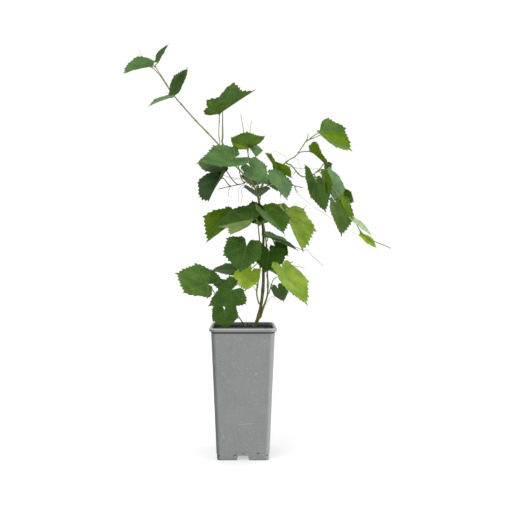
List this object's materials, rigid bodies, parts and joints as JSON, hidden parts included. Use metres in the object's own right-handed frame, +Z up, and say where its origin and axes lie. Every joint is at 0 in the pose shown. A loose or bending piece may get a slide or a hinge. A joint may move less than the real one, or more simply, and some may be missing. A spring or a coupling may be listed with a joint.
{
  "type": "potted grapevine",
  "caption": "Young grapevine with lobed leaves on thin branching stems, one long shoot up to the left and one arm hanging to the right, in a tall square nursery pot.",
  "frame": {"origin": "middle of the underside of the pot, where it stands", "axes": "+Z up, -Y towards the front of the pot, +X to the right seen from the front"},
  "size_m": [0.6275, 0.3478, 1.0231],
  "materials": {
    "pot_plastic": "satin",
    "potting_soil": "matte",
    "bark": "matte",
    "green_stem": "satin",
    "leaf_deep": "satin",
    "leaf_blue": "satin",
    "leaf_lime": "satin"
  },
  "bodies": {
    "root": {"climbing_stem": "green_stem", "foliage_arm_tip": "leaf_blue", "foliage_back_high": "leaf_blue", "foliage_back_low": "leaf_deep", "foliage_back_middle": "leaf_deep", "foliage_crown_left": "leaf_blue", "foliage_crown_middle": "leaf_blue", "foliage_crown_right": "leaf_blue", "foliage_hanging_inner": "leaf_deep", "foliage_hanging_outer": "leaf_lime", "foliage_left_tip": "leaf_deep", "foliage_low_centre": "leaf_lime", "foliage_low_left": "leaf_deep", "foliage_low_middle": "leaf_deep", "foliage_low_right": "leaf_lime", "foliage_middle_left": "leaf_deep", "foliage_middle_right": "leaf_lime", "foliage_side_right": "leaf_deep", "foliage_top": "leaf_blue", "foliage_upper_left": "leaf_deep", "hanging_bough": "green_stem", "left_bough": "green_stem", "pot": "pot_plastic", "right_bough": "green_stem", "second_stem": "green_stem", "soil": "potting_soil", "sucker": "green_stem", "trunk": "bark"}
  },
  "joints": []
}
